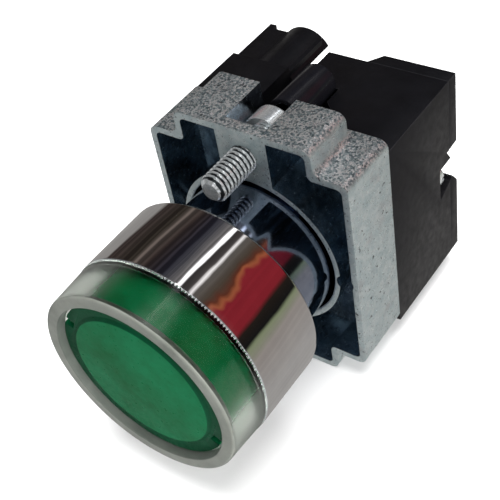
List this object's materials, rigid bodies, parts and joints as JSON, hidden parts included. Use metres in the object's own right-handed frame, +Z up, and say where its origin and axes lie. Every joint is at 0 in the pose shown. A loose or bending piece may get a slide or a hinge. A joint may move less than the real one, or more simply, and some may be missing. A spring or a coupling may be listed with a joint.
{
  "type": "illuminated industrial push button",
  "caption": "Illuminated push button: chrome bezel with clear guard and green lens, tail for a round panel hole, die-cast clamp collar, contact block and lamp module behind.",
  "frame": {"origin": "on the button's axis, in the plane of the bezel's rear face, where the front of the panel seats", "axes": "+Y along the button's axis into the panel, the way the button is pressed; +Z up, towards the clamp screw; +X to the right seen from the front"},
  "size_m": [0.03, 0.0548, 0.0392],
  "materials": {
    "chrome": "polished",
    "tail_chrome": "polished",
    "clear_plastic": "gloss",
    "green_lens": "gloss",
    "milky_plastic": "satin",
    "zinc_casting": "zinc-plated casting",
    "zinc_plate": "zinc-plated",
    "spring_steel": "satin",
    "black_plastic": "matte",
    "carrier_plastic": "matte",
    "brass": "satin",
    "black_rubber": "matte"
  },
  "bodies": {
    "root": {"bezel": "chrome", "guard_ring": "clear_plastic", "head_body": "tail_chrome", "panel_gasket": "black_rubber", "bumper_seal": "black_rubber", "return_spring": "spring_steel", "fixing_collar": "zinc_casting", "screw_guide": "black_plastic", "contact_housing": "black_plastic", "contact_cover": "black_plastic", "pressure_spring": "spring_steel", "contact_return_spring": "spring_steel", "fixed_contact_upper": "brass", "fixed_contact_lower": "brass", "light_housing": "black_plastic", "light_cover": "black_plastic", "lamp_socket": "brass", "lamp_base": "brass", "lamp_dome": "milky_plastic", "module_strip_upper": "brass", "module_strip_lower": "brass", "contact_clamp_upper": "zinc_plate", "contact_clamp_lower": "zinc_plate", "module_clamp_upper": "zinc_plate", "module_clamp_lower": "zinc_plate"},
    "button": {"lens_cap": "green_lens", "lens_diffuser": "milky_plastic", "button_carrier": "carrier_plastic", "retaining_ring": "spring_steel", "push_plate": "carrier_plastic"},
    "plunger": {"contact_plunger": "carrier_plastic"},
    "bridge": {"bridge_contact": "brass"},
    "clamp_screw_body": {"clamp_screw": "zinc_plate"},
    "contact_fixing_screw_body": {"contact_fixing_screw": "zinc_plate"},
    "module_fixing_screw_body": {"module_fixing_screw": "zinc_plate"},
    "contact_screw_upper_body": {"contact_screw_upper": "zinc_plate"},
    "contact_screw_lower_body": {"contact_screw_lower": "zinc_plate"},
    "module_screw_upper_body": {"module_screw_upper": "zinc_plate"},
    "module_screw_lower_body": {"module_screw_lower": "zinc_plate"}
  },
  "joints": [
    {"name": "button_press", "type": "slide", "parent": "root", "child": "button", "axis": [0, 1, 0], "range_m": [0, 0.004], "stiffness_N_per_m": 900, "springref_m": -0.004, "deforming": ["return_spring"]},
    {"name": "plunger_slide", "type": "slide", "parent": "root", "child": "plunger", "axis": [0, 1, 0], "range_m": [0, 0.004]},
    {"name": "bridge_slide", "type": "slide", "parent": "root", "child": "bridge", "axis": [0, 1, 0], "range_m": [0, 0.002], "deforming": ["pressure_spring", "contact_return_spring"]},
    {"name": "clamp_screw_turn", "type": "hinge", "parent": "root", "child": "clamp_screw_body", "pos_m": [0, 0.008, 0.0153], "axis": [0, 1, 0], "continuous": true},
    {"name": "contact_fixing_screw_turn", "type": "hinge", "parent": "root", "child": "contact_fixing_screw_body", "pos_m": [-0.01305, 0.025, -0.0009], "axis": [0, 1, 0], "continuous": true},
    {"name": "module_fixing_screw_turn", "type": "hinge", "parent": "root", "child": "module_fixing_screw_body", "pos_m": [0.01305, 0.025, -0.0009], "axis": [0, 1, 0], "continuous": true},
    {"name": "contact_screw_upper_turn", "type": "hinge", "parent": "root", "child": "contact_screw_upper_body", "pos_m": [-0.0119, 0.031, 0.0096], "axis": [0, 1, 0], "continuous": true},
    {"name": "contact_screw_lower_turn", "type": "hinge", "parent": "root", "child": "contact_screw_lower_body", "pos_m": [-0.0119, 0.031, -0.0096], "axis": [0, 1, 0], "continuous": true},
    {"name": "module_screw_upper_turn", "type": "hinge", "parent": "root", "child": "module_screw_upper_body", "pos_m": [0.0097, 0.031, 0.0096], "axis": [0, 1, 0], "continuous": true},
    {"name": "module_screw_lower_turn", "type": "hinge", "parent": "root", "child": "module_screw_lower_body", "pos_m": [0.0097, 0.031, -0.0096], "axis": [0, 1, 0], "continuous": true}
  ],
  "couplings": [
    {"joint": "plunger_slide", "follows": "button_press", "ratio": 1},
    {"joint": "bridge_slide", "follows": "button_press", "ratio": 0.5}
  ]
}
